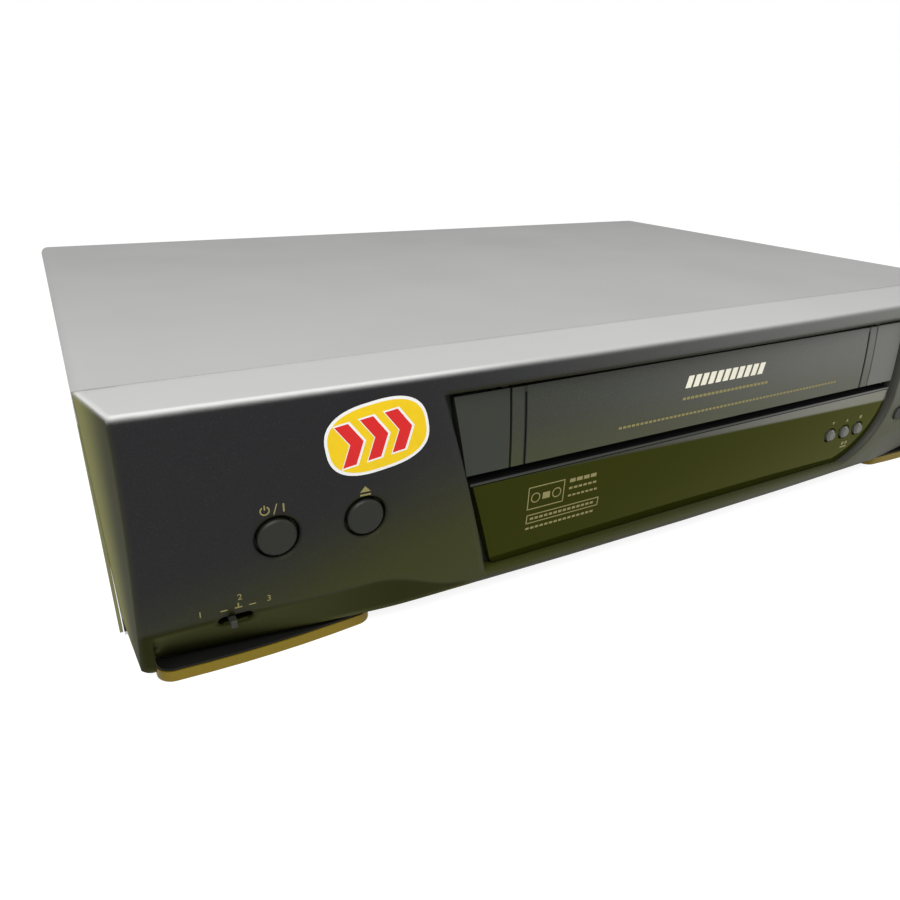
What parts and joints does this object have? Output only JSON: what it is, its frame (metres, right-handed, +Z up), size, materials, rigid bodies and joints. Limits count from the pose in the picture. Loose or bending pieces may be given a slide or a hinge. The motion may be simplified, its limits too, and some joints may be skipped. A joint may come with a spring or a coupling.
{
  "type": "video cassette recorder",
  "caption": "Front-loading VHS video recorder with a bowed dark front, sprung cassette door and full tape deck",
  "frame": {"origin": "middle of the footprint, at the underside of the feet", "axes": "+X along the front from left to right as seen from the front, +Y from the front to the back, +Z up"},
  "size_m": [0.43, 0.2949, 0.088],
  "materials": {
    "cover_paint": "fine textured grey enamel on folded steel",
    "front_plastic": "moulded dark grey plastic with a silvery paint, lighter along the top edge",
    "surround_plastic": "black moulded plastic",
    "door_plastic": "dark grey metallic paint on plastic",
    "window_plastic": "dark smoked acrylic, polished",
    "button_plastic": "moulded dark grey plastic",
    "foot_plastic": "black moulded plastic",
    "trim_gold": "gold-coloured plated plastic",
    "zinc_steel": "zinc-plated sheet steel",
    "steel_pin": "ground and polished steel",
    "drum_alloy": "turned aluminium",
    "motor_steel": "plated steel can",
    "white_plastic": "natural acetal plastic",
    "deck_plastic": "black acetal plastic",
    "belt_rubber": "moulded rubber",
    "board": "brown phenolic circuit board",
    "core_steel": "varnished laminated steel with a copper winding",
    "display_glass": "dark glass display tube",
    "socket_metal": "nickel-plated sockets in their block",
    "can_blue": "plastic-sleeved aluminium can",
    "sink_alloy": "anodised aluminium"
  },
  "bodies": {
    "case": {"top_cover": "cover_paint", "front_panel": "front_plastic", "base_tray": "zinc_steel", "rear_panel": "zinc_steel", "cover_screws": "steel_pin", "front_feet": "foot_plastic", "foot_trims": "trim_gold", "rear_feet": "foot_plastic", "flap_surround": "surround_plastic", "flap_spring": "steel_pin", "display_window": "window_plastic", "display_tube": "display_glass", "front_board": "board", "front_switches": "deck_plastic", "deck_plate": "zinc_steel", "deck_screws": "steel_pin", "drum_base": "drum_alloy", "capstan_motor": "motor_steel", "reel_belt": "belt_rubber", "loading_motor": "motor_steel", "erase_head": "steel_pin", "control_head": "steel_pin", "carriage_frames": "zinc_steel", "power_board": "board", "main_board": "board", "transformer": "core_steel", "capacitors": "can_blue", "heat_sink": "sink_alloy", "mains_inlet": "surround_plastic", "tuner": "socket_metal", "phono_sockets": "socket_metal"},
    "door": {"cassette_flap": "door_plastic"},
    "power_push": {"power_button": "button_plastic"},
    "eject_push": {"eject_button": "button_plastic"},
    "channel_down_push": {"channel_down_button": "button_plastic"},
    "channel_up_push": {"channel_up_button": "button_plastic"},
    "record_push": {"record_button": "button_plastic"},
    "rewind_push": {"rewind_key": "button_plastic"},
    "play_push": {"play_key": "button_plastic"},
    "forward_push": {"forward_key": "button_plastic"},
    "pause_push": {"pause_key": "button_plastic"},
    "stop_push": {"stop_key": "button_plastic"},
    "slow_push": {"slow_key": "button_plastic"},
    "selector": {"selector_slider": "surround_plastic"},
    "rack": {"loading_rack": "deck_plastic"},
    "carriage": {"cassette_carriage": "zinc_steel"},
    "drum": {"head_drum": "drum_alloy"},
    "capstan": {"capstan_rotor": "steel_pin"},
    "pulley": {"centre_pulley": "white_plastic"},
    "idler": {"idler_arm": "zinc_steel"},
    "idler_tyre": {"idler_wheel": "belt_rubber"},
    "supply": {"supply_reel": "deck_plastic"},
    "takeup": {"takeup_reel": "deck_plastic"},
    "supply_guide": {"supply_post": "steel_pin"},
    "takeup_guide": {"takeup_post": "steel_pin"},
    "mode_gear": {"cam_gear": "white_plastic"},
    "pinion": {"loading_pinion": "white_plastic"},
    "pinch": {"pinch_arm": "zinc_steel"},
    "pinch_tyre": {"pinch_roller": "belt_rubber"},
    "tension": {"tension_arm": "zinc_steel"}
  },
  "joints": [
    {"name": "door_hinge", "type": "hinge", "parent": "case", "child": "door", "pos_m": [0.0083, -0.14113, 0.0774], "axis": [1, 0, 0], "range_deg": [0, 95], "stiffness_Nm_per_rad": 0.004, "springref_deg": -40.11},
    {"name": "power_press", "type": "slide", "parent": "case", "child": "power_push", "axis": [0, 1, 0], "range_m": [0, 0.001], "stiffness_N_per_m": 300, "springref_m": -0.001},
    {"name": "eject_press", "type": "slide", "parent": "case", "child": "eject_push", "axis": [0, 1, 0], "range_m": [0, 0.001], "stiffness_N_per_m": 300, "springref_m": -0.001},
    {"name": "channel_down_press", "type": "slide", "parent": "case", "child": "channel_down_push", "axis": [0, 1, 0], "range_m": [0, 0.0008], "stiffness_N_per_m": 300, "springref_m": -0.001},
    {"name": "channel_up_press", "type": "slide", "parent": "case", "child": "channel_up_push", "axis": [0, 1, 0], "range_m": [0, 0.0008], "stiffness_N_per_m": 300, "springref_m": -0.001},
    {"name": "record_press", "type": "slide", "parent": "case", "child": "record_push", "axis": [0, 1, 0], "range_m": [0, 0.0008], "stiffness_N_per_m": 300, "springref_m": -0.001},
    {"name": "rewind_press", "type": "slide", "parent": "case", "child": "rewind_push", "axis": [0, 1, 0], "range_m": [0, 0.0008], "stiffness_N_per_m": 300, "springref_m": -0.001},
    {"name": "play_press", "type": "slide", "parent": "case", "child": "play_push", "axis": [0, 1, 0], "range_m": [0, 0.0008], "stiffness_N_per_m": 300, "springref_m": -0.001},
    {"name": "forward_press", "type": "slide", "parent": "case", "child": "forward_push", "axis": [0, 1, 0], "range_m": [0, 0.0008], "stiffness_N_per_m": 300, "springref_m": -0.001},
    {"name": "pause_press", "type": "slide", "parent": "case", "child": "pause_push", "axis": [0, 1, 0], "range_m": [0, 0.0008], "stiffness_N_per_m": 300, "springref_m": -0.001},
    {"name": "stop_press", "type": "slide", "parent": "case", "child": "stop_push", "axis": [0, 1, 0], "range_m": [0, 0.0008], "stiffness_N_per_m": 300, "springref_m": -0.001},
    {"name": "slow_press", "type": "slide", "parent": "case", "child": "slow_push", "axis": [0, 1, 0], "range_m": [0, 0.0008], "stiffness_N_per_m": 300, "springref_m": -0.001},
    {"name": "selector_slide", "type": "slide", "parent": "case", "child": "selector", "axis": [1, 0, 0], "range_m": [-0.0026, 0.0048]},
    {"name": "rack_slide", "type": "slide", "parent": "case", "child": "rack", "axis": [0, 1, 0], "range_m": [0, 0.058]},
    {"name": "carriage_drop", "type": "slide", "parent": "rack", "child": "carriage", "axis": [0, 0, -1], "range_m": [0, 0.014]},
    {"name": "drum_spin", "type": "hinge", "parent": "case", "child": "drum", "pos_m": [0.0083, 0.08946, 0.047], "axis": [0.1028, 0, 0.9947], "continuous": true},
    {"name": "capstan_spin", "type": "hinge", "parent": "case", "child": "capstan", "pos_m": [0.07, 0.06246, 0.02], "axis": [0, 0, 1], "continuous": true},
    {"name": "pulley_spin", "type": "hinge", "parent": "case", "child": "pulley", "pos_m": [0.0083, 0.00746, 0.02], "axis": [0, 0, 1], "continuous": true},
    {"name": "idler_swing", "type": "hinge", "parent": "case", "child": "idler", "pos_m": [0.0083, 0.00746, 0.027], "axis": [0, 0, 1], "range_deg": [-52, 52]},
    {"name": "idler_spin", "type": "hinge", "parent": "idler", "child": "idler_tyre", "pos_m": [0.0083, -0.01254, 0.03], "axis": [0, 0, 1], "continuous": true},
    {"name": "supply_spin", "type": "hinge", "parent": "case", "child": "supply", "pos_m": [-0.0377, -0.00354, 0.03], "axis": [0, 0, 1], "continuous": true},
    {"name": "takeup_spin", "type": "hinge", "parent": "case", "child": "takeup", "pos_m": [0.0543, -0.00354, 0.03], "axis": [0, 0, 1], "continuous": true},
    {"name": "supply_guide_slide", "type": "slide", "parent": "case", "child": "supply_guide", "axis": [-0.2822, 0.9594, 0], "range_m": [0, 0.03544]},
    {"name": "takeup_guide_slide", "type": "slide", "parent": "case", "child": "takeup_guide", "axis": [0.2822, 0.9594, 0], "range_m": [0, 0.03544]},
    {"name": "mode_turn", "type": "hinge", "parent": "case", "child": "mode_gear", "pos_m": [-0.062, 0.09346, 0.028], "axis": [0, 0, 1], "range_deg": [0, 180.5]},
    {"name": "pinion_turn", "type": "hinge", "parent": "case", "child": "pinion", "pos_m": [-0.07645, 0.06843, 0.028], "axis": [0, 0, 1], "range_deg": [-903, 0]},
    {"name": "pinch_swing", "type": "hinge", "parent": "case", "child": "pinch", "pos_m": [0.092, 0.07946, 0.04], "axis": [0, 0, 1], "range_deg": [0, 40], "stiffness_Nm_per_rad": 0.02, "springref_deg": -11.46},
    {"name": "pinch_spin", "type": "hinge", "parent": "pinch", "child": "pinch_tyre", "pos_m": [0.07193, 0.08338, 0.045], "axis": [0, 0, 1], "continuous": true},
    {"name": "tension_swing", "type": "hinge", "parent": "case", "child": "tension", "pos_m": [-0.066, 0.04346, 0.03], "axis": [0, 0, 1], "range_deg": [-8, 8], "stiffness_Nm_per_rad": 0.02}
  ],
  "couplings": [
    {"joint": "pulley_spin", "follows": "capstan_spin", "ratio": 0.5},
    {"joint": "idler_spin", "follows": "capstan_spin", "ratio": -0.49},
    {"joint": "takeup_guide_slide", "follows": "supply_guide_slide", "ratio": 1},
    {"joint": "mode_turn", "follows": "supply_guide_slide", "rad_per_m": 88.645},
    {"joint": "pinion_turn", "follows": "supply_guide_slide", "rad_per_m": -443.23}
  ]
}
